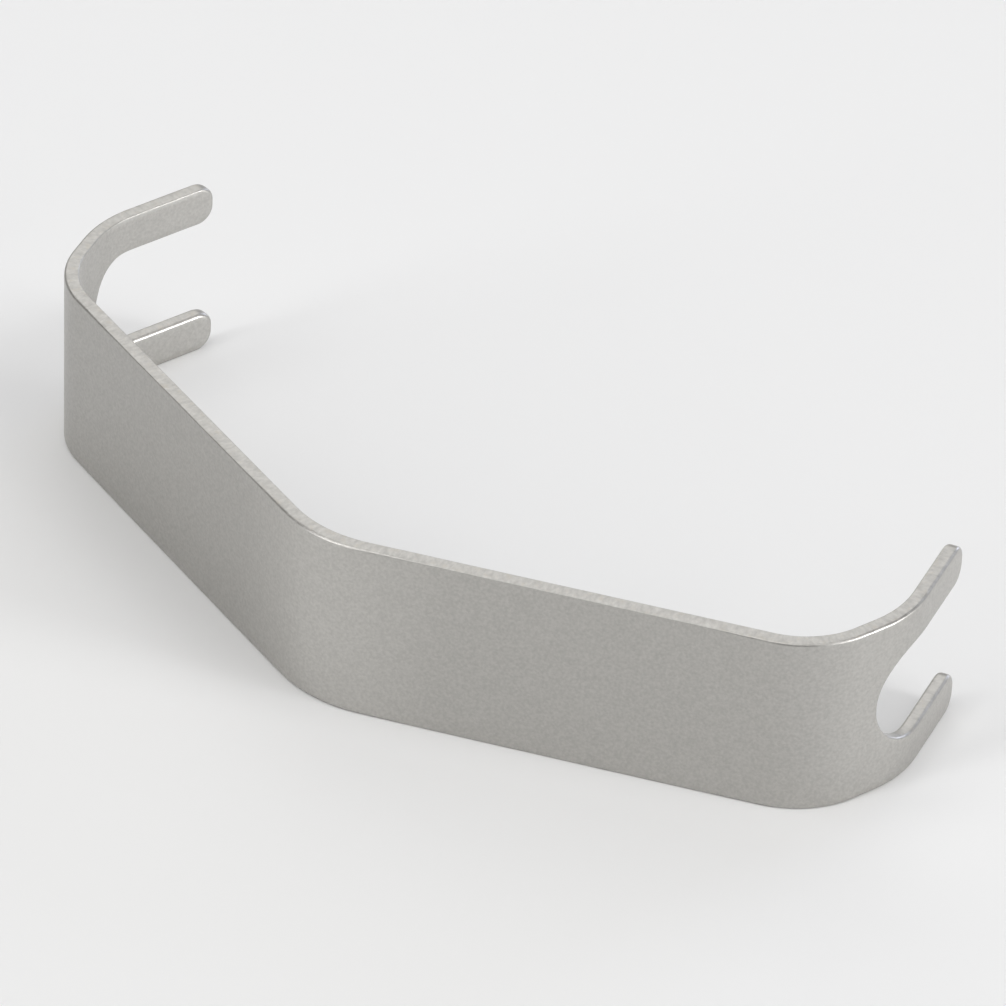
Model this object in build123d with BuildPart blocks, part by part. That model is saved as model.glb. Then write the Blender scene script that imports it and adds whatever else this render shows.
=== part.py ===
from build123d import *
import os

# A spring clip folded from one strip of stainless sheet. The strip stands on its long
# edge. Seen from above it is a wide, shallow vee whose two ends turn back in two bends
# each, and every end is slotted into a fork of two round-nosed tines.
# Millimetres and degrees. +Z is up, +Y points from the nose of the vee towards the
# tines, and X is the span. The origin is the middle of the footprint.

# Sheet and strip
sheet_thickness = 1.2
strip_width = 16.0

# Bends, from the nose outwards. Each radius is measured on the hollow side.
nose_angle = 40.0
nose_radius = 10.5
shoulder_angle = 54.0
shoulder_radius = 7.0
hook_angle = 31.0
hook_radius = 9.0

# Straight stretches between the bends, measured along the sheet
arm_length = 33.0
link_length = 2.0
tine_length = 8.0

# Fork: a slot with a full round end, open at the tip
slot_width = 9.0
slot_centre_depth = 8.9

# Flat left in the middle of each tine's round nose
tip_flat = 0.5

# Tumbled edges: every sheared corner is rounded off a little
edge_radius = 0.3

half_sheet = sheet_thickness / 2
half_strip = strip_width / 2
tine_width = (strip_width - slot_width) / 2
tip_radius = (tine_width - tip_flat) / 2

# How far a cut runs past the sheet, and the turn that counts as a sharp corner
cut_reach = 3 * sheet_thickness
sharp_turn = 45.0


# Middle line of the right half in plan, from the nose out to the tine tips
with BuildLine() as right_half:
    nose = JernArc((0, 0), (1, 0), nose_radius + half_sheet, nose_angle / 2)
    arm = Line(nose @ 1, nose @ 1 + arm_length * (nose % 1))
    shoulder = JernArc(arm @ 1, arm % 1, shoulder_radius + half_sheet, shoulder_angle)
    link = Line(shoulder @ 1, shoulder @ 1 + link_length * (shoulder % 1))
    hook = JernArc(link @ 1, link % 1, hook_radius + half_sheet, hook_angle)
    tine = Line(hook @ 1, hook @ 1 + tine_length * (hook % 1))

# The strip seen from above, with its nose on the origin
with BuildSketch() as strip_plan:
    with BuildLine():
        add(right_half.line)
        mirror(about=Plane.YZ)
    trace(line_width=sheet_thickness)

# Where the nose's middle line crosses the Y axis, with the middle of the footprint on the origin
nose_y = -strip_plan.sketch.bounding_box().center().Y


def fork_plane(side):
    """Plane square to the sheet at the centre of a slot's round end, with its X towards the tips."""
    half_wire = right_half.wire()
    share = 1 - slot_centre_depth / half_wire.length
    centre = half_wire @ share
    ahead = half_wire % share
    return Plane(
        origin=(side * centre.X, nose_y + centre.Y, half_strip),
        x_dir=(side * ahead.X, ahead.Y, 0),
        z_dir=(ahead.Y, -side * ahead.X, 0),
    )


def tip_axis(side):
    """Axis that leaves the middle of a tine's end along the tine."""
    end = tine @ 1
    ahead = tine % 1
    return Axis(origin=(side * end.X, nose_y + end.Y, 0), direction=(side * ahead.X, ahead.Y, 0))


def is_sharp(edge, part):
    """Whether the two faces that meet at an edge turn sharply there."""
    normals = [face.normal_at(edge @ 0.5) for face in part.faces() if edge in face.edges()]
    return len(normals) == 2 and normals[0].get_angle(normals[1]) > sharp_turn


with BuildPart() as retaining_clip:
    # The strip, folded
    with BuildSketch(Plane(origin=(0, nose_y, 0))):
        add(strip_plan.sketch)
    extrude(amount=strip_width)

    # The slots, each punched square to the sheet at its round end
    with BuildSketch(fork_plane(1), fork_plane(-1)):
        Circle(slot_width / 2)
        Rectangle(slot_centre_depth + cut_reach, slot_width, align=(Align.MIN, Align.CENTER))
    extrude(amount=cut_reach, both=True, mode=Mode.SUBTRACT)

    # Round noses on the tines
    for side in (1, -1):
        across_sheet = Axis((0, 0, 0), Vector(tip_axis(side).direction).rotate(Axis.Z, 90))
        tip_edges = retaining_clip.edges().filter_by(across_sheet).group_by(tip_axis(side))[-1]
        fillet(tip_edges, radius=tip_radius)

    # The small round that tumbling leaves along every sheared edge
    sheared_edges = retaining_clip.edges().filter_by(lambda edge: is_sharp(edge, retaining_clip.part))
    fillet(sheared_edges, radius=min(edge_radius, 0.45 * sheet_thickness))

retaining_clip.part.label = "retaining_clip"
os.makedirs("parts", exist_ok=True)
export_step(retaining_clip.part, "parts/retaining_clip.step")
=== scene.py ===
"""Looks of the filter retaining clip: one strip of satin stainless, punched, tumbled and folded.

Metres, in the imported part's own frame: +Z up, across the strip's width; +Y from the nose of the
vee towards the tines; X along the span. The strip is made as a press shop makes it: a flat blank
is cut, slotted, rounded along its sheared edges and then folded, line by line, into its vee.
"""

import logging
import math
from collections.abc import Callable, Iterator
from contextlib import contextmanager
from dataclasses import dataclass
from enum import Enum

import bmesh
import bpy
from mathutils import Matrix, Vector

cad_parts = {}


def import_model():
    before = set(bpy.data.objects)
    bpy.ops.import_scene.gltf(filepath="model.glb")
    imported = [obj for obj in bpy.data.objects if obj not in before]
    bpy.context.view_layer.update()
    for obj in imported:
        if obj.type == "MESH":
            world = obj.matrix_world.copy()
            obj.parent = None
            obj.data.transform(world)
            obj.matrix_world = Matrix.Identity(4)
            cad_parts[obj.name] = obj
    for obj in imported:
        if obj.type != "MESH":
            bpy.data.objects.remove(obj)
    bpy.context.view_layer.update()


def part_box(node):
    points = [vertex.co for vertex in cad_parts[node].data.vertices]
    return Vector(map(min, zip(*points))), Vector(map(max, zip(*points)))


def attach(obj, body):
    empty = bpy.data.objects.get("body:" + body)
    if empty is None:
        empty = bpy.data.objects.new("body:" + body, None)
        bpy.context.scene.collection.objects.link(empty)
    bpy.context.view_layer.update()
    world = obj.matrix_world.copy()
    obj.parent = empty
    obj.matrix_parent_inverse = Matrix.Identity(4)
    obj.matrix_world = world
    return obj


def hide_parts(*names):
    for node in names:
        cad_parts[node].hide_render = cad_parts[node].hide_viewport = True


log = logging.getLogger("retaining_clip")

MM = 0.001
NODE = "retaining_clip"
BODY = "root"

# Degrees
QUARTER_TURN = 90.0

# How near to a cut line a point may lie and still count as on it
ON_LINE = 0.015 * MM

# The bevel profile that is part of a circle
CIRCULAR = 0.5

# The least share of an edge that puts a point into the group of the edges
LEAST_SHARE = 0.001

# How strongly each octave of a noise adds to it, and the middle range of its level
NOISE_ROUGHNESS = 0.6
NOISE_LOW = 0.3
NOISE_HIGH = 0.7

# Names of what each point of the strip remembers after folding
FLAT_PLACE = "flat_place"
SHEARED = "sheared"
BURNISHED = "burnished"
TORN = "torn"
# Painted light: how much the skin is painted lighter at the nose and the tines, for the light that
# falls there
PAINTED_LIGHT = "painted_light"

# The attribute that the bevel modifier reads
EDGE_WEIGHT = "bevel_weight_edge"


class Side(Enum):
    """An end of the strip, by the sign of its X."""

    RIGHT = 1
    LEFT = -1


class Face(Enum):
    """A broad face of the sheet, by the sign of its Y while the strip is flat."""

    OUTER = -1
    HOLLOW = 1

    @classmethod
    def at(cls, place: Vector) -> "Face":
        """The broad face that a place in the flat strip belongs to."""
        return cls.HOLLOW if place.y > 0 else cls.OUTER


class SelectMode(Enum):
    """What is selected in edit mode, by the name that the operators have for it."""

    POINTS = "VERT"
    EDGES = "EDGE"
    FACES = "FACE"


def clamped(share: float) -> float:
    """A share, held between 0 and 1."""
    return min(1.0, max(0.0, share))


def deselect_all() -> None:
    """Deselects every object, so that an operator acts on the new piece alone."""
    bpy.ops.object.select_all(action="DESELECT")


def make_active(piece: bpy.types.Object) -> None:
    """Selects one piece alone and makes it active.

    Args:
        piece: the object that the next operators act on
    """
    deselect_all()
    piece.select_set(True)
    bpy.context.view_layer.objects.active = piece


@contextmanager
def edit_mode(
    piece: bpy.types.Object, mode: SelectMode = SelectMode.POINTS
) -> Iterator[bpy.types.Mesh]:
    """Opens a piece in edit mode and closes it again.

    Args:
        piece: the object to edit
        mode: what is selected in it

    Returns:
        The mesh that is open.
    """
    make_active(piece)
    bpy.ops.object.mode_set(mode="EDIT")
    bpy.ops.mesh.select_mode(type=mode.value)
    try:
        yield piece.data
    finally:
        bpy.ops.object.mode_set(mode="OBJECT")


def select_points(mesh: bpy.types.Mesh, wanted: Callable[[bmesh.types.BMVert], bool]) -> None:
    """Selects the points of an open mesh that pass a test, and nothing else.

    Args:
        mesh: a mesh in edit mode
        wanted: the test
    """
    bpy.ops.mesh.select_all(action="DESELECT")
    shape = bmesh.from_edit_mesh(mesh)
    for point in shape.verts:
        if wanted(point):
            point.select = True
    shape.select_flush(True)
    bmesh.update_edit_mesh(mesh, loop_triangles=False, destructive=False)


def select_edges(mesh: bpy.types.Mesh, wanted: Callable[[bmesh.types.BMEdge], bool]) -> None:
    """Selects the edges of an open mesh that pass a test, and nothing else.

    Args:
        mesh: a mesh in edit mode
        wanted: the test
    """
    bpy.ops.mesh.select_all(action="DESELECT")
    shape = bmesh.from_edit_mesh(mesh)
    for edge in shape.edges:
        if wanted(edge):
            edge.select = True
    bmesh.update_edit_mesh(mesh, loop_triangles=False, destructive=False)


def apply_modifier(piece: bpy.types.Object, kind: str, **settings: object) -> None:
    """Adds a modifier to a piece and applies it.

    Args:
        piece: the object
        kind: the modifier's type
        settings: its values
    """
    make_active(piece)
    bpy.ops.object.modifier_add(type=kind)
    modifier = piece.modifiers[-1]
    for name, value in settings.items():
        setattr(modifier, name, value)
    bpy.ops.object.modifier_apply(modifier=modifier.name)


@dataclass(frozen=True)
class FoldLine:
    """A line across the flat strip, where the press turns all that lies beyond it.

    Attributes:
        distance: from the middle of the strip, along the sheet, m
        turn: radians
    """

    distance: float
    turn: float


@dataclass(frozen=True)
class Bend:
    """A bend, pressed as a row of small folds.

    Attributes:
        angle: whole turn, degrees
        hollow_radius: radius on the hollow side, m
        flats: number of narrow flats between its fold lines
    """

    angle: float
    hollow_radius: float
    flats: int

    def flat_width(self, thickness: float) -> float:
        """Width of one flat, which is a chord of the sheet's middle line.

        Args:
            thickness: of the sheet, m

        Returns:
            The width, m.
        """
        middle_radius = self.hollow_radius + thickness / 2
        return 2 * middle_radius * math.sin(math.radians(self.angle) / self.flats / 2)

    def length(self, thickness: float) -> float:
        """Length of the bend along the sheet's middle line, which all its flats make up, m."""
        return self.flats * self.flat_width(thickness)

    def lines(self, start: float, thickness: float) -> list[FoldLine]:
        """Fold lines of this bend.

        Args:
            start: where the bend starts, from the middle of the strip, m
            thickness: of the sheet, m

        Returns:
            The lines, from the start outwards. The two at the ends turn by half a step.
        """
        step = math.radians(self.angle) / self.flats
        width = self.flat_width(thickness)
        found = []
        for index in range(self.flats + 1):
            share = 0.5 if index in (0, self.flats) else 1.0
            found.append(FoldLine(start + index * width, share * step))
        return found


@dataclass(frozen=True)
class FoldPlan:
    """Where the strip is straight and where it turns, for one half, from the middle outwards.

    Attributes:
        thickness: of the sheet, m
        half_nose: the half of the nose bend that belongs to this half of the strip
        shoulder: the bend at the end of the arm
        hook: the bend at the root of the tines
        arm_length: straight stretch between nose and shoulder, m
        link_length: straight stretch between shoulder and hook, m
        tine_length: straight stretch beyond the hook, m
        cut_spacing: distance between cuts across the straight stretches, m
        arm_fade: length over which an arm's edge changes from its bends to its middle, m
        nose_painted_light: how much painted light brightens the skin on the nose, 0 to 1
        shoulder_painted_light: how much it does at the start of the shoulder, from where it rises
            to 1
    """

    thickness: float = 1.2 * MM
    half_nose: Bend = Bend(angle=20.0, hollow_radius=10.5 * MM, flats=9)
    shoulder: Bend = Bend(angle=54.0, hollow_radius=7.0 * MM, flats=20)
    hook: Bend = Bend(angle=31.0, hollow_radius=9.0 * MM, flats=12)
    arm_length: float = 33.0 * MM
    link_length: float = 2.0 * MM
    tine_length: float = 8.0 * MM
    cut_spacing: float = 0.42 * MM
    arm_fade: float = 7.0 * MM
    nose_painted_light: float = 0.8
    shoulder_painted_light: float = 0.1

    def fold_lines(self) -> list[FoldLine]:
        """Fold lines of one half.

        Returns:
            The lines, from the middle of the strip outwards.
        """
        found: list[FoldLine] = []
        start = 0.0
        for bend, straight in self._stretches():
            found += bend.lines(start, self.thickness)
            start = found[-1].distance + straight
        return found

    def half_length(self) -> float:
        """Length of one half of the flat strip, m."""
        return self.fold_lines()[-1].distance + self.tine_length

    def cuts(self) -> list[float]:
        """Distances of all cuts across the flat strip: the fold lines and even cuts between bends.

        Returns:
            The distances from the middle of the strip, m.
        """
        found = [line.distance for line in self.fold_lines()]
        start = 0.0
        for bend, straight in self._stretches():
            start += bend.length(self.thickness)
            count = round(straight / self.cut_spacing)
            found += [start + straight * index / count for index in range(1, count)]
            start += straight
        return sorted(found)

    def arm_share(self, distance: float) -> float:
        """How much a place belongs to the middle of an arm.

        Args:
            distance: from the middle of the strip, m

        Returns:
            0 where the strip is bent or belongs to a tine, and 1 in the middle of the arm.
        """
        nose_end = self.half_nose.length(self.thickness)
        to_bend = min(distance - nose_end, nose_end + self.arm_length - distance)
        return clamped(to_bend / self.arm_fade)

    def painted_light_share(self, distance: float) -> float:
        """How much painted light brightens the skin at a place.

        Args:
            distance: from the middle of the strip, m

        Returns:
            0 in the middle of an arm, and up to 1 at a tip.
        """
        arm_end = self.half_nose.length(self.thickness) + self.arm_length
        if distance < arm_end - self.arm_length / 2:
            painted_share = self.nose_painted_light
        else:
            past_arm = max(0.0, (distance - arm_end) / (self.half_length() - arm_end))
            painted_share = self.shoulder_painted_light + (1.0 - self.shoulder_painted_light) * past_arm
        # Painted light: the share of the lighter skin, none in the middle of an arm
        return painted_share * (1.0 - self.arm_share(distance))

    def tine_share(self, distance: float) -> float:
        """How much a place belongs to a tine.

        Args:
            distance: from the middle of the strip, m

        Returns:
            0 up to the start of the hook, and 1 from its end to the tip.
        """
        before_tine = self.half_length() - self.tine_length - distance
        return clamped(1.0 - before_tine / self.hook.length(self.thickness))

    def _stretches(self) -> tuple[tuple[Bend, float], ...]:
        """Each bend with the straight stretch that follows it."""
        return (
            (self.half_nose, self.arm_length),
            (self.shoulder, self.link_length),
            (self.hook, self.tine_length),
        )


@dataclass(frozen=True)
class Fork:
    """The slotted end of the strip, with its two round-nosed tines.

    Attributes:
        slot_width: across the strip, m
        centre_depth: from the tips back to the centre of the slot's round end, m
        tip_flat: flat left in the middle of each tine's nose, m
        round_end_sides: sides of the punch's full circle
        tip_steps: flats on each round corner of a tine
    """

    slot_width: float = 9.0 * MM
    centre_depth: float = 8.9 * MM
    tip_flat: float = 0.5 * MM
    round_end_sides: int = 96
    tip_steps: int = 12

    def depth(self) -> float:
        """Depth of the slot, from the tips to the bottom of its round end, m."""
        return self.centre_depth + self.slot_width / 2

    def tine_width(self, strip_width: float) -> float:
        """Width of one tine, m."""
        return (strip_width - self.slot_width) / 2

    def tip_radius(self, strip_width: float) -> float:
        """Radius of a tine's corners.

        Args:
            strip_width: of the whole strip, m

        Returns:
            The radius, m.
        """
        return (self.tine_width(strip_width) - self.tip_flat) / 2

    def make_punch(self, side: Side, half_length: float, strip_width: float) -> bpy.types.Object:
        """Models the slot punch: a half-round bar, drawn out past the tips.

        Args:
            side: the end of the strip that it works on
            half_length: of the flat strip, m
            strip_width: of the whole strip, m

        Returns:
            The punch, standing in its place through the flat strip.
        """
        centre = Vector((side.value * (half_length - self.centre_depth), 0, strip_width / 2))
        outwards = Vector((side.value, 0, 0))
        deselect_all()
        bpy.ops.mesh.primitive_cylinder_add(
            vertices=self.round_end_sides,
            radius=self.slot_width / 2,
            depth=strip_width,
            location=centre,
            rotation=(math.radians(QUARTER_TURN), 0, 0),
        )
        punch = bpy.context.object
        bpy.ops.object.transform_apply(location=True, rotation=True, scale=True)
        with edit_mode(punch, SelectMode.FACES):
            bpy.ops.mesh.select_all(action="SELECT")
            bpy.ops.mesh.bisect(
                plane_co=centre,
                plane_no=outwards,
                use_fill=True,
                clear_outer=True,
                threshold=ON_LINE,
            )
            bpy.ops.mesh.extrude_region_move(
                TRANSFORM_OT_translate={"value": outwards * (2 * self.centre_depth)}
            )
        return punch


@dataclass(frozen=True)
class TumbledRounds:
    """The small rounds that tumbling leaves along the sheared edges.

    Attributes:
        arm: radius along the outer face in the middle of an arm, m
        bend: radius along the outer face where the strip is bent, m
        hollow: radius along the hollow face, m
        slot: radius round the slots on the hollow face, where the punch came in, m
        tip: radius round the noses of the tines, m
        hollow_burnish: how far the plain rounds of the hollow face are burnished, 0 to 1
        tine_burnish: how far the rounds on the outer face of the tines are, 0 to 1
        steps: flats across a round
    """

    arm: float = 0.12 * MM
    bend: float = 0.26 * MM
    hollow: float = 0.1 * MM
    slot: float = 0.32 * MM
    tip: float = 0.46 * MM
    hollow_burnish: float = 0.1
    tine_burnish: float = 0.3
    steps: int = 6

    def largest(self) -> float:
        """The largest of the radii, m."""
        return max(self.arm, self.bend, self.hollow, self.slot, self.tip)

    def radius(self, face: Face, in_slot: bool, arm_share: float, tip_share: float) -> float:
        """Radius of the round at one place.

        Args:
            face: the broad face that it borders
            in_slot: whether it belongs to a slot
            arm_share: 0 where the strip is bent, and 1 in the middle of an arm
            tip_share: 0 away from the noses of the tines, and 1 at their very ends

        Returns:
            The radius, m.
        """
        if face is Face.OUTER:
            plain = self.bend + arm_share * (self.arm - self.bend)
        else:
            plain = self.slot if in_slot else self.hollow
        return plain + tip_share * (self.tip - plain)


@dataclass(frozen=True)
class Waves:
    """Unevenness of the metal, always inwards.

    Attributes:
        name: of the texture that drives it
        period: rough length of a wave, m
        depth: deepest dip, m
        detail: octaves of the pattern
    """

    name: str
    period: float
    depth: float
    detail: int

    def press_into(self, strip: bpy.types.Object, group: str = "") -> None:
        """Moves points inwards by the pattern.

        Args:
            strip: the flat strip
            group: the vertex group of the points that move, or none for all
        """
        texture = bpy.data.textures.new(self.name, "CLOUDS")
        texture.noise_scale = self.period
        texture.noise_depth = self.detail
        apply_modifier(
            strip,
            "DISPLACE",
            texture=texture,
            texture_coords="LOCAL",
            direction="NORMAL",
            mid_level=1.0,
            strength=self.depth,
            vertex_group=group,
        )
        bpy.data.textures.remove(texture)


@dataclass
class RetainingClip:
    """The clip: one strip of sheet with a fork at each end.

    Attributes:
        width: of the strip, m
        plan: where it is straight and where it turns
        fork: the slotted ends
        rounds: the rounds along the sheared edges
        edge_waves: the unevenness of those edges
        skin_waves: the much smaller unevenness of the whole sheet
        rows: number of rows of faces across the width
        cut_margin: how far from the slots the cuts across stop until the edges are rounded, m
        sharp: turn between two faces that counts as a sharp edge, degrees
    """

    width: float = 16.0 * MM
    plan: FoldPlan = FoldPlan()
    fork: Fork = Fork()
    rounds: TumbledRounds = TumbledRounds()
    edge_waves: tuple[Waves, ...] = (
        Waves("long_edge_waves", 3.0 * MM, 0.03 * MM, 1),
        Waves("short_edge_waves", 0.8 * MM, 0.025 * MM, 2),
    )
    skin_waves: Waves = Waves("skin_waves", 9.0 * MM, 0.008 * MM, 0)
    rows: int = 24
    cut_margin: float = 0.9 * MM
    sharp: float = 45.0

    def build(self) -> bpy.types.Object:
        """Models the whole strip, from the flat blank to the folded clip.

        Returns:
            The finished object, at the origin, with its place in its mesh.
        """
        strip = self._cut_blank()
        self._cut_across(strip, 0.0, self._reach_of_slots())
        self._punch_slots(strip)
        self._round_tips(strip)
        self._round_edges(strip)
        self._cut_across(strip, self._reach_of_slots(), self.plan.half_length())
        self._cut_rows(strip)
        self._remember_flat_place(strip)
        self.skin_waves.press_into(strip)
        group = self._group_edges(strip)
        for waves in self.edge_waves:
            waves.press_into(strip, group)
        self._fold(strip)
        self._stand_in_place(strip)
        self._smooth(strip)
        return strip

    def _cut_blank(self) -> bpy.types.Object:
        """Cuts the flat blank from sheet.

        Returns:
            The blank, lying along X with its middle over the origin.
        """
        deselect_all()
        size = (2 * self.plan.half_length(), self.plan.thickness, self.width)
        bpy.ops.mesh.primitive_cube_add(size=1, location=(0, 0, self.width / 2), scale=size)
        strip = bpy.context.object
        strip.name = "folded_strip"
        strip.data.name = "folded_strip"
        bpy.ops.object.transform_apply(location=True, rotation=True, scale=True)
        return strip

    def _punch_slots(self, strip: bpy.types.Object) -> None:
        """Punches the slot at each end.

        Args:
            strip: the blank
        """
        for side in Side:
            punch = self.fork.make_punch(side, self.plan.half_length(), self.width)
            apply_modifier(strip, "BOOLEAN", operation="DIFFERENCE", solver="EXACT", object=punch)
            bpy.data.meshes.remove(punch.data)

    def _round_tips(self, strip: bpy.types.Object) -> None:
        """Rounds the corners of the tines.

        Args:
            strip: the slotted blank
        """
        with edit_mode(strip, SelectMode.EDGES) as mesh:
            select_edges(mesh, self._is_corner)
            bpy.ops.mesh.bevel(
                offset_type="OFFSET",
                offset=self.fork.tip_radius(self.width),
                segments=self.fork.tip_steps,
                profile=CIRCULAR,
                affect="EDGES",
            )

    def _is_corner(self, edge: bmesh.types.BMEdge) -> bool:
        """Whether an edge of the slotted blank is a corner of a tine.

        Args:
            edge: of the blank

        Returns:
            True where it runs through the sheet at an end of the strip.
        """
        first, last = (point.co for point in edge.verts)
        through = abs(first.y - last.y) > self.plan.thickness / 2
        return through and min(abs(first.x), abs(last.x)) > self.plan.half_length() - ON_LINE

    def _round_edges(self, strip: bpy.types.Object) -> None:
        """Rounds the sheared edges, each by its own radius.

        Args:
            strip: the slotted blank with its tips rounded
        """
        largest = self.rounds.largest()
        sharp = math.radians(self.sharp)
        with edit_mode(strip, SelectMode.EDGES) as mesh:
            shape = bmesh.from_edit_mesh(mesh)
            weight = shape.edges.layers.float.new(EDGE_WEIGHT)
            for edge in shape.edges:
                # An edge of a broad face's outline keeps to one face of the sheet
                levels = {round(point.co.y / ON_LINE) for point in edge.verts}
                if len(levels) == 1 and edge.calc_face_angle(0.0) > sharp:
                    first, last = (point.co for point in edge.verts)
                    edge[weight] = self._round_at((first + last) / 2) / largest
            bmesh.update_edit_mesh(mesh)
        apply_modifier(
            strip,
            "BEVEL",
            limit_method="WEIGHT",
            offset_type="OFFSET",
            width=largest,
            segments=self.rounds.steps,
            profile=CIRCULAR,
            use_clamp_overlap=False,
        )

    def _round_at(self, place: Vector) -> float:
        """Radius of the round at a place on the outline of a broad face.

        Args:
            place: on the flat strip

        Returns:
            The radius, m.
        """
        return self.rounds.radius(
            face=Face.at(place),
            in_slot=self._in_slot(place),
            arm_share=self.plan.arm_share(abs(place.x)),
            tip_share=self._tip_share(place),
        )

    def _in_slot(self, place: Vector) -> bool:
        """Whether a place on the outline belongs to a slot.

        Args:
            place: on the flat strip

        Returns:
            True as far out as the middle of a tine.
        """
        off_middle = abs(place.z - self.width / 2)
        in_fork = self.plan.half_length() - abs(place.x) < self.fork.depth() + ON_LINE
        middle_of_tine = (self.fork.slot_width + self.fork.tine_width(self.width)) / 2
        return in_fork and off_middle < middle_of_tine

    def _burnish_at(self, place: Vector) -> float:
        """How far the round at a place is burnished.

        Args:
            place: on the flat strip

        Returns:
            0 where it is as dull as the sheet, and 1 where it is fully burnished.
        """
        in_slot = self._in_slot(place)
        share = 1.0
        if Face.at(place) is Face.OUTER:
            tine_share = 1.0 if in_slot else self.plan.tine_share(abs(place.x))
            share -= (1.0 - self.rounds.tine_burnish) * tine_share
        elif not in_slot:
            share = self.rounds.hollow_burnish
        return share * (1.0 - self._tip_share(place))

    def _tip_share(self, place: Vector) -> float:
        """How much a place belongs to the nose of a tine.

        Args:
            place: on the flat strip

        Returns:
            0 where the tine is straight, and 1 at its very end.
        """
        to_end = self.plan.half_length() - abs(place.x)
        return clamped(1.0 - to_end / self.fork.tip_radius(self.width))

    def _reach_of_slots(self) -> float:
        """How near the slots come to the middle of the strip, less a margin, m."""
        return self.plan.half_length() - self.fork.depth() - self.cut_margin

    def _cut_across(self, strip: bpy.types.Object, first: float, last: float) -> None:
        """Cuts the mesh across the strip, at the fold lines and between.

        Args:
            strip: the flat strip
            first: distance from the strip's middle where the cuts start, m
            last: distance where they stop, m
        """
        with edit_mode(strip):
            for cut in self.plan.cuts():
                if first <= cut < last:
                    for place in sorted({cut, -cut}):
                        bpy.ops.mesh.select_all(action="SELECT")
                        bpy.ops.mesh.bisect(
                            plane_co=(place, 0, 0), plane_no=(1, 0, 0), threshold=ON_LINE
                        )

    def _cut_rows(self, strip: bpy.types.Object) -> None:
        """Cuts the mesh along the strip in rows.

        Args:
            strip: the flat strip
        """
        with edit_mode(strip):
            for row in range(1, self.rows):
                height = self.width * row / self.rows
                bpy.ops.mesh.select_all(action="SELECT")
                bpy.ops.mesh.bisect(
                    plane_co=(0, 0, height), plane_no=(0, 0, 1), threshold=ON_LINE
                )

    def _remember_flat_place(self, strip: bpy.types.Object) -> None:
        """Stores each point's place in the flat strip, how the press shaped its metal there, and
        how much painted light brightens its skin.

        Args:
            strip: the flat strip
        """
        mesh = strip.data
        mesh.attributes.new(FLAT_PLACE, "FLOAT_VECTOR", "POINT")
        for name in (SHEARED, BURNISHED, TORN, PAINTED_LIGHT):
            mesh.attributes.new(name, "FLOAT", "POINT")
        flat_place = mesh.attributes[FLAT_PLACE].data
        sheared = mesh.attributes[SHEARED].data
        burnished = mesh.attributes[BURNISHED].data
        torn = mesh.attributes[TORN].data
        painted_light = mesh.attributes[PAINTED_LIGHT].data
        for index, point in enumerate(mesh.vertices):
            # The normal lies along Y on a broad face, and square to Y on a sheared wall
            around = math.acos(min(1.0, abs(point.normal.y)))
            flat_place[index].vector = point.co
            sheared[index].value = math.sin(around) ** 2
            burnished[index].value = math.sin(2 * around) * self._burnish_at(point.co)
            torn[index].value = sheared[index].value * self._tip_share(point.co)
            # Painted light: the skin is painted lighter at the nose and the tines
            painted_light[index].value = self.plan.painted_light_share(abs(point.co.x))

    def _group_edges(self, strip: bpy.types.Object) -> str:
        """Groups the points of the rounds and of the sheared walls.

        Args:
            strip: the flat strip

        Returns:
            The name of the vertex group.
        """
        group = strip.vertex_groups.new(name="edges")
        sheared = strip.data.attributes[SHEARED].data
        for index, value in enumerate(sheared):
            if value.value > LEAST_SHARE:
                group.add([index], value.value, "REPLACE")
        return group.name

    def _fold(self, strip: bpy.types.Object) -> None:
        """Folds the strip line by line, the outermost line of each end first.

        What lies on a line turns by half as much as what lies beyond it.

        Args:
            strip: the flat strip
        """
        with edit_mode(strip) as mesh:
            for side in Side:
                for line in reversed(self.plan.fold_lines()):
                    for reach in (line.distance - ON_LINE, line.distance + ON_LINE):
                        self._turn_beyond(mesh, side, reach, line)

    def _turn_beyond(
        self, mesh: bpy.types.Mesh, side: Side, reach: float, line: FoldLine
    ) -> None:
        """Turns what lies beyond a reach by half of a fold line's turn.

        Args:
            mesh: the strip's mesh, in edit mode
            side: the end of the strip
            reach: distance from the strip's middle, m
            line: the fold line, which is the pivot
        """
        place = bmesh.from_edit_mesh(mesh).verts.layers.float_vector[FLAT_PLACE]
        select_points(mesh, lambda point: side.value * point[place].x > reach)
        # With no window the operator turns the other way, so the sign is changed
        bpy.ops.transform.rotate(
            value=-side.value * line.turn / 2,
            orient_axis="Z",
            orient_type="GLOBAL",
            center_override=(side.value * line.distance, 0, 0),
        )

    def _stand_in_place(self, strip: bpy.types.Object) -> None:
        """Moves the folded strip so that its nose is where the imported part's nose is.

        Args:
            strip: the folded strip
        """
        low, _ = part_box(NODE)
        nose_y = low.y + self.plan.thickness / 2
        make_active(strip)
        bpy.ops.transform.translate(value=(0, nose_y, low.z))
        bpy.ops.object.transform_apply(location=True, rotation=True, scale=True)

    def _smooth(self, strip: bpy.types.Object) -> None:
        """Shades the strip smooth, with its flats kept flat.

        Args:
            strip: the folded strip
        """
        make_active(strip)
        bpy.ops.object.shade_smooth()
        apply_modifier(strip, "WEIGHTED_NORMAL", mode="FACE_AREA", keep_sharp=False)

    def dress(self, strip: bpy.types.Object, material: bpy.types.Material) -> None:
        """Gives the strip its finish and its place in the frame.

        Args:
            strip: the finished strip
            material: its finish
        """
        strip.data.materials.append(material)
        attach(strip, BODY)
        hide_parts(NODE)


@dataclass(frozen=True)
class Pattern:
    """A noise pattern of a real size, in the flat strip.

    Attributes:
        period: rough size of a spot along each axis, m
        detail: octaves
    """

    period: tuple[float, float, float]
    detail: float


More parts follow.
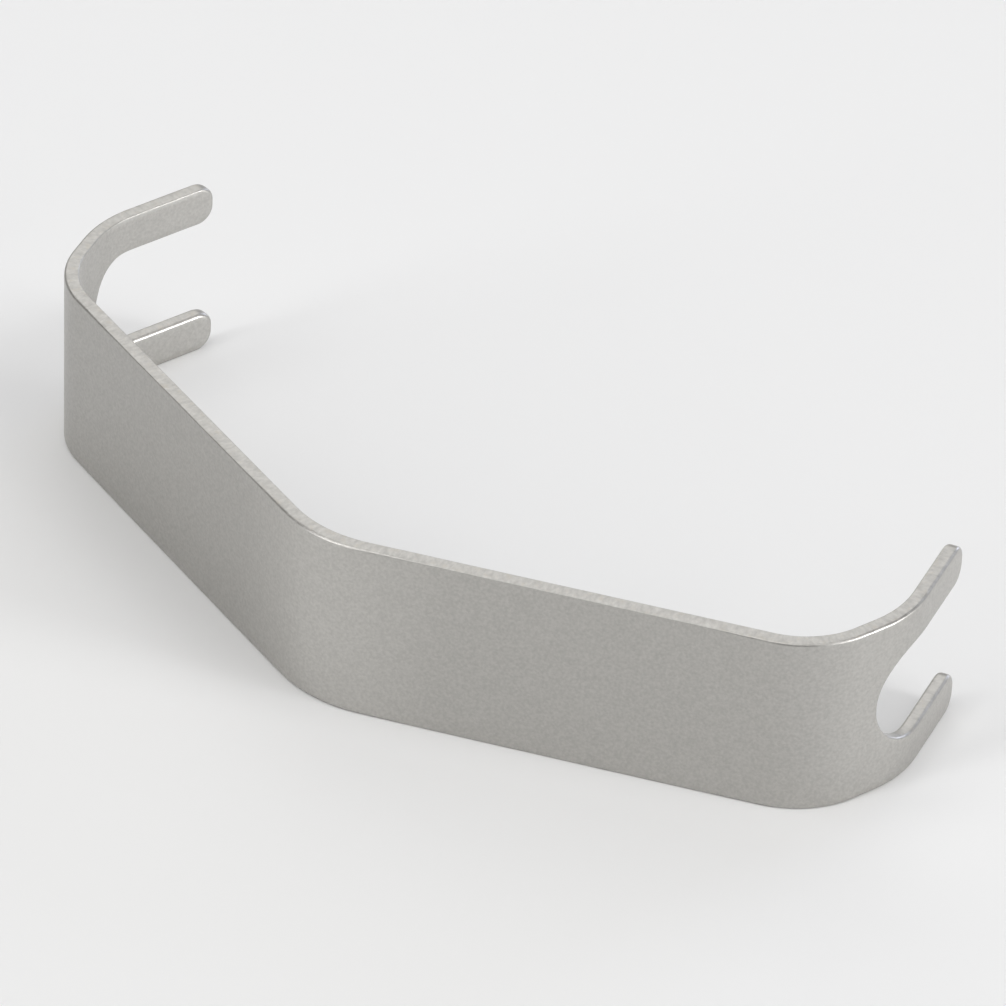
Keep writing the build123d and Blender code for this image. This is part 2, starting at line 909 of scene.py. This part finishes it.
class NodeBoard:
    """A material's or world's node tree, with short ways to add and link nodes."""

    def __init__(self, owner: bpy.types.ID) -> None:
        """Clears the tree.

        Args:
            owner: the material or world
        """
        owner.use_nodes = True
        self.tree = owner.node_tree
        self.tree.nodes.clear()
        self.made: dict[str | Pattern, bpy.types.NodeSocket] = {}

    def add(self, kind: str, **settings: object) -> bpy.types.Node:
        """Adds a node.

        Args:
            kind: its type
            settings: its own values, by name

        Returns:
            The node.
        """
        node = self.tree.nodes.new(kind)
        for name, value in settings.items():
            setattr(node, name, value)
        return node

    def feed(self, socket: bpy.types.NodeSocket, source: object) -> None:
        """Links a source to a socket, or sets its value.

        Args:
            socket: the input
            source: an output socket, a number or a tuple
        """
        if isinstance(source, bpy.types.NodeSocket):
            self.tree.links.new(source, socket)
        else:
            socket.default_value = source

    def feed_all(self, node: bpy.types.Node, sources: dict[str, object]) -> None:
        """Links or sets several inputs of a node.

        Args:
            node: the node
            sources: output sockets, numbers or tuples, by the name of the input
        """
        for name, source in sources.items():
            self.feed(node.inputs[name], source)

    def math(self, operation: str, first: object, second: object) -> bpy.types.NodeSocket:
        """Adds a math node.

        Args:
            operation: its name
            first: the first input
            second: the second input

        Returns:
            The result.
        """
        node = self.add("ShaderNodeMath", operation=operation)
        self.feed(node.inputs[0], first)
        self.feed(node.inputs[1], second)
        return node.outputs[0]

    def attribute(self, name: str, output: str = "Fac") -> bpy.types.NodeSocket:
        """Reads an attribute of the mesh, with one node for each name.

        Args:
            name: of the attribute
            output: Vector or Fac

        Returns:
            Its value.
        """
        if name not in self.made:
            node = self.add("ShaderNodeAttribute", attribute_type="GEOMETRY", attribute_name=name)
            self.made[name] = node.outputs[output]
        return self.made[name]

    def noise(self, pattern: Pattern) -> bpy.types.NodeSocket:
        """Lays a noise pattern out over the flat strip, with one node for each pattern.

        Args:
            pattern: its sizes

        Returns:
            Its level, about 0.5 on average.
        """
        if pattern not in self.made:
            scale = self.add("ShaderNodeVectorMath", operation="DIVIDE")
            self.feed(scale.inputs[0], self.attribute(FLAT_PLACE, "Vector"))
            self.feed(scale.inputs[1], pattern.period)
            node = self.add("ShaderNodeTexNoise")
            sources = {
                "Vector": scale.outputs[0],
                "Scale": 1.0,
                "Detail": pattern.detail,
                "Roughness": NOISE_ROUGHNESS,
            }
            self.feed_all(node, sources)
            self.made[pattern] = node.outputs["Fac"]
        return self.made[pattern]

    def spread(self, pattern: Pattern, ends: tuple[float, float]) -> bpy.types.NodeSocket:
        """Spreads the middle range of a noise pattern between two values.

        Args:
            pattern: the noise pattern
            ends: the value where its level is low, and the value where it is high

        Returns:
            The value.
        """
        node = self.add("ShaderNodeMapRange", clamp=True)
        sources = {
            "Value": self.noise(pattern),
            "From Min": NOISE_LOW,
            "From Max": NOISE_HIGH,
            "To Min": ends[0],
            "To Max": ends[1],
        }
        self.feed_all(node, sources)
        return node.outputs["Result"]

    def blend(self, share: object, first: object, second: object) -> bpy.types.NodeSocket:
        """Mixes two numbers.

        Args:
            share: of the second, 0 to 1
            first: the value at 0
            second: the value at 1

        Returns:
            The mixed value.
        """
        node = self.add("ShaderNodeMix", data_type="FLOAT")
        self.feed_all(node, {"Factor": share, "A": first, "B": second})
        return node.outputs["Result"]

    def blend_colour(self, share: object, first: object, second: object) -> bpy.types.NodeSocket:
        """Mixes two colours.

        Args:
            share: of the second, 0 to 1
            first: the colour at 0
            second: the colour at 1

        Returns:
            The mixed colour.
        """
        node = self.add("ShaderNodeMix", data_type="RGBA")
        sockets = {socket.identifier: socket for socket in node.inputs}
        self.feed(node.inputs["Factor"], share)
        self.feed(sockets["A_Color"], first)
        self.feed(sockets["B_Color"], second)
        return next(socket for socket in node.outputs if socket.identifier == "Result_Color")

    def shades(
        self, pattern: Pattern, colour: tuple[float, float, float], levels: tuple[float, float]
    ) -> bpy.types.NodeSocket:
        """Shades a colour by a noise pattern.

        Args:
            pattern: the noise pattern
            colour: red, green and blue
            levels: what multiplies the colour where the pattern is low, and where it is high

        Returns:
            The shaded colour.
        """
        low, high = (opaque(colour, level) for level in levels)
        return self.blend_colour(self.spread(pattern, (0.0, 1.0)), low, high)

    def principled(self, sources: dict[str, object]) -> None:
        """Adds the Principled shader and shows it on the surface.

        Args:
            sources: output sockets, numbers or tuples, by the name of the shader's input
        """
        shader = self.add("ShaderNodeBsdfPrincipled")
        self.feed_all(shader, sources)
        output = self.add("ShaderNodeOutputMaterial")
        self.feed(output.inputs["Surface"], shader.outputs["BSDF"])


def opaque(colour: tuple[float, float, float], level: float = 1.0) -> tuple[float, ...]:
    """A colour with its alpha.

    Args:
        colour: red, green and blue
        level: what they are multiplied by

    Returns:
        Four numbers.
    """
    return (*(channel * level for channel in colour), 1.0)


@dataclass(frozen=True)
class SatinStainless:
    """Rolled stainless sheet with a fine satin skin, burnished rounds and matte sheared walls.

    A pair of numbers gives the value where its pattern is low, and the value where it is high.

    Attributes:
        skin: colour of the broad faces
        plain_levels: what multiplies it away from the painted light
        painted_light_levels: what multiplies it where painted light brightens the skin, at the
            nose and the tines
        skin_roughness: of the broad faces
        sheared: colour of the sheared walls
        sheared_levels: what multiplies it
        sheared_roughness: of the sheared walls
        round_roughness: of the burnished rounds
        tarnished: colour of the faint golden spots on the walls
        tarnished_shares: of that colour on the walls, where less than 0 is none
        torn: colour of the torn metal at the noses of the tines
        torn_shares: of that colour at the very ends
        streak_shares: of that colour in the marks that the punch leaves on the walls
        grain: the satin's specks
        mottle: faint patches on the skin
        streak: the marks that the punch leaves through the sheet
        blotch: patches on the walls
        spot: the golden spots on the walls
        nick: dull spots along the rounds
        relief_height: of the specks and marks, m
        relief_strength: of that relief, 0 to 1
    """

    skin: tuple[float, float, float] = (0.498, 0.488, 0.466)
    plain_levels: tuple[float, float] = (0.885, 1.045)
    painted_light_levels: tuple[float, float] = (0.99, 1.17)
    skin_roughness: tuple[float, float] = (0.39, 0.45)
    sheared: tuple[float, float, float] = (0.54, 0.529, 0.505)
    sheared_levels: tuple[float, float] = (0.86, 1.14)
    sheared_roughness: tuple[float, float] = (0.39, 0.49)
    round_roughness: tuple[float, float] = (0.26, 0.51)
    tarnished: tuple[float, float, float] = (0.51, 0.473, 0.41)
    tarnished_shares: tuple[float, float] = (-0.8, 0.5)
    torn: tuple[float, float, float] = (0.33, 0.313, 0.285)
    torn_shares: tuple[float, float] = (0.55, 1.0)
    streak_shares: tuple[float, float] = (0.12, 0.0)
    grain: Pattern = Pattern((0.11 * MM, 0.11 * MM, 0.11 * MM), 1.0)
    mottle: Pattern = Pattern((0.26 * MM, 0.26 * MM, 0.26 * MM), 2.0)
    streak: Pattern = Pattern((0.24 * MM, 0.72 * MM, 0.24 * MM), 2.0)
    blotch: Pattern = Pattern((0.38 * MM, 0.76 * MM, 0.38 * MM), 3.0)
    spot: Pattern = Pattern((0.76 * MM, 0.76 * MM, 0.76 * MM), 3.0)
    nick: Pattern = Pattern((0.55 * MM, 0.55 * MM, 0.55 * MM), 3.0)
    relief_height: float = 0.012 * MM
    relief_strength: float = 0.5

    def make(self) -> bpy.types.Material:
        """Builds the material.

        Returns:
            The material.
        """
        material = bpy.data.materials.new("satin_stainless")
        board = NodeBoard(material)
        sources = {
            "Base Color": self._colour(board),
            "Metallic": 1.0,
            "Roughness": self._roughness(board),
            "Normal": self._relief(board),
        }
        board.principled(sources)
        return material

    def _colour(self, board: NodeBoard) -> bpy.types.NodeSocket:
        """Mixes the colours of the skin, the sheared walls and the torn noses, with painted light
        on the skin at the nose and the tines.

        Args:
            board: the material's nodes

        Returns:
            The colour.
        """
        torn = opaque(self.torn)
        plain = board.shades(self.mottle, self.skin, self.plain_levels)
        # Painted light: a lighter copy of the skin, blended in at the nose and the tines
        painted_light = board.shades(self.mottle, self.skin, self.painted_light_levels)
        skin = board.blend_colour(board.attribute(PAINTED_LIGHT), plain, painted_light)
        wall = board.shades(self.blotch, self.sheared, self.sheared_levels)
        tarnished_share = board.spread(self.spot, self.tarnished_shares)
        wall = board.blend_colour(tarnished_share, wall, opaque(self.tarnished))
        wall = board.blend_colour(board.spread(self.streak, self.streak_shares), wall, torn)
        colour = board.blend_colour(board.attribute(SHEARED), skin, wall)
        patchy_share = board.spread(self.blotch, self.torn_shares)
        torn_share = board.math("MULTIPLY", board.attribute(TORN), patchy_share)
        return board.blend_colour(torn_share, colour, torn)

    def _roughness(self, board: NodeBoard) -> bpy.types.NodeSocket:
        """Mixes the roughness of the skin, the sheared walls and the burnished rounds.

        Args:
            board: the material's nodes

        Returns:
            The roughness.
        """
        skin = board.spread(self.grain, self.skin_roughness)
        wall = board.spread(self.streak, self.sheared_roughness)
        rounds = board.spread(self.nick, self.round_roughness)
        plain = board.blend(board.attribute(SHEARED), skin, wall)
        return board.blend(board.attribute(BURNISHED), plain, rounds)

    def _relief(self, board: NodeBoard) -> bpy.types.NodeSocket:
        """Raises the satin's specks, and on the walls the marks of the punch too.

        Args:
            board: the material's nodes

        Returns:
            The normal.
        """
        grain = board.noise(self.grain)
        marked = board.math("ADD", board.noise(self.streak), grain)
        bump = board.add("ShaderNodeBump")
        sources = {
            "Height": board.blend(board.attribute(SHEARED), grain, marked),
            "Strength": self.relief_strength,
            "Distance": self.relief_height,
        }
        board.feed_all(bump, sources)
        return bump.outputs["Normal"]


@dataclass(frozen=True)
class PaleFloor:
    """The plain surface that the clip stands on.

    Attributes:
        size: side of the square, m
        colour: of the matte sheet
        roughness: of the matte sheet
        specular: its specular level
    """

    size: float = 12.0
    colour: tuple[float, float, float] = (0.85, 0.85, 0.85)
    roughness: float = 0.9
    specular: float = 0.1

    def build(self) -> bpy.types.Object:
        """Lays the floor under the clip.

        Returns:
            The floor.
        """
        deselect_all()
        bpy.ops.mesh.primitive_plane_add(size=self.size, location=(0, 0, 0))
        floor = bpy.context.object
        floor.name = "pale_floor"
        material = bpy.data.materials.new("pale_floor")
        sources = {
            "Base Color": opaque(self.colour),
            "Roughness": self.roughness,
            "Specular IOR Level": self.specular,
        }
        NodeBoard(material).principled(sources)
        floor.data.materials.append(material)
        return floor


def direction(azimuth: float, elevation: float) -> Vector:
    """Direction from the clip to a place around it.

    Args:
        azimuth: degrees, 0 in front of the nose and 90 to the right
        elevation: degrees above the floor

    Returns:
        The unit vector.
    """
    turn = math.radians(azimuth)
    rise = math.radians(elevation)
    return Vector(
        (math.sin(turn) * math.cos(rise), -math.cos(turn) * math.cos(rise), math.sin(rise))
    )


@dataclass(frozen=True)
class SoftBox:
    """A diffused lamp that faces the clip.

    Attributes:
        name: of the lamp
        azimuth: degrees, 0 in front of the nose and 90 to the right
        elevation: degrees above the floor
        size: width and height of its front, m
        radiance: brightness of its front
        tint: colour of its light
        distance: m
    """

    name: str
    azimuth: float
    elevation: float
    size: tuple[float, float]
    radiance: float
    tint: tuple[float, float, float] = (1.0, 1.0, 1.0)
    distance: float = 2.0

    def build(self) -> bpy.types.Object:
        """Hangs the lamp.

        Returns:
            The lamp.
        """
        lamp = bpy.data.lights.new(self.name, "AREA")
        lamp.shape = "RECTANGLE"
        lamp.size, lamp.size_y = self.size
        lamp.color = self.tint
        lamp.energy = self.radiance * math.pi * lamp.size * lamp.size_y
        holder = bpy.data.objects.new(self.name, lamp)
        bpy.context.scene.collection.objects.link(holder)
        towards = direction(self.azimuth, self.elevation)
        holder.location = towards * self.distance
        holder.rotation_euler = towards.to_track_quat("Z", "Y").to_euler()
        return holder


@dataclass(frozen=True)
class Studio:
    """The soft surroundings: a plain even world, and soft boxes at the sides, behind and above.

    Attributes:
        world_level: red, green and blue of the even light from all round
        lamps: the soft boxes
    """

    world_level: tuple[float, float, float] = (0.283, 0.28, 0.274)
    lamps: tuple[SoftBox, ...] = (
        SoftBox("low_right_box", 106.0, 12.0, (0.5, 0.5), 24.0),
        SoftBox("wide_right_box", 82.0, 21.0, (0.8, 0.8), 2.4),
        SoftBox("tall_right_box", 106.0, 48.0, (0.8, 1.8), 1.2),
        SoftBox("low_back_box", 180.0, 14.0, (0.9, 0.9), 2.5, (0.91, 0.98, 1.18)),
        SoftBox("back_box", 226.0, 33.0, (1.7, 0.9), 1.1),
        SoftBox("high_back_box", 214.0, 60.0, (1.0, 1.0), 0.95),
        SoftBox("low_front_left_box", -25.0, 12.0, (0.35, 0.5), 8.0),
        SoftBox("front_left_strip", -20.0, 32.0, (0.35, 1.2), 5.0),
        SoftBox("overhead_left_box", -35.0, 67.0, (1.4, 1.4), 1.36),
        SoftBox("overhead_right_box", 80.0, 72.0, (1.4, 1.4), 0.55),
    )

    def build(self) -> list[bpy.types.Object]:
        """Sets the world and hangs the lamps.

        Returns:
            The lamps.
        """
        world = bpy.data.worlds.new("soft_studio")
        bpy.context.scene.world = world
        board = NodeBoard(world)
        even = board.add("ShaderNodeBackground")
        board.feed_all(even, {"Color": opaque(self.world_level), "Strength": 1.0})
        output = board.add("ShaderNodeOutputWorld")
        board.feed(output.inputs["Surface"], even.outputs["Background"])
        return [lamp.build() for lamp in self.lamps]


@dataclass(frozen=True)
class Viewpoint:
    """The photograph's point of view.

    Attributes:
        azimuth: degrees, 0 in front of the nose and 90 to the right
        elevation: degrees above the floor
        roll: degrees that the camera leans
        distance: from the aim, m
        aim: the place in the middle of the picture, m
        lens: focal length, mm
        nearest: distance from which the camera sees, m
    """

    azimuth: float = 37.171
    elevation: float = 35.825
    roll: float = 2.19
    distance: float = 674.42 * MM
    aim: tuple[float, float, float] = (4.065 * MM, 2.0615 * MM, 10.924 * MM)
    lens: float = 304.6
    nearest: float = 10.0 * MM

    def build(self) -> bpy.types.Object:
        """Sets up the camera.

        Returns:
            The camera.
        """
        back = direction(self.azimuth, self.elevation)
        level = direction(self.azimuth + QUARTER_TURN, 0.0)
        upright = back.cross(level)
        lean = math.radians(self.roll)
        right = math.cos(lean) * level + math.sin(lean) * upright
        top = math.cos(lean) * upright - math.sin(lean) * level
        data = bpy.data.cameras.new("photo_camera")
        data.lens = self.lens
        data.clip_start = self.nearest
        camera = bpy.data.objects.new("photo_camera", data)
        bpy.context.scene.collection.objects.link(camera)
        turned = Matrix((right, top, back)).transposed().to_4x4()
        camera.matrix_world = Matrix.Translation(Vector(self.aim) + back * self.distance) @ turned
        bpy.context.scene.camera = camera
        return camera


def main() -> None:
    """Builds the clip, its finish and the scene around it."""
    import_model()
    bpy.context.scene.view_settings.view_transform = "Standard"

    clip = RetainingClip()
    strip = clip.build()
    clip.dress(strip, SatinStainless().make())
    log.info("%s: %d faces", strip.name, len(strip.data.polygons))

    floor = PaleFloor().build()
    log.info("%s: under the clip", floor.name)
    lamps = Studio().build()
    log.info("%d lamps: %s", len(lamps), ", ".join(lamp.name for lamp in lamps))
    camera = Viewpoint().build()
    log.info("%s: %.1f mm lens", camera.name, camera.data.lens)


if __name__ == "__main__":
    logging.basicConfig(level=logging.INFO)
    main()
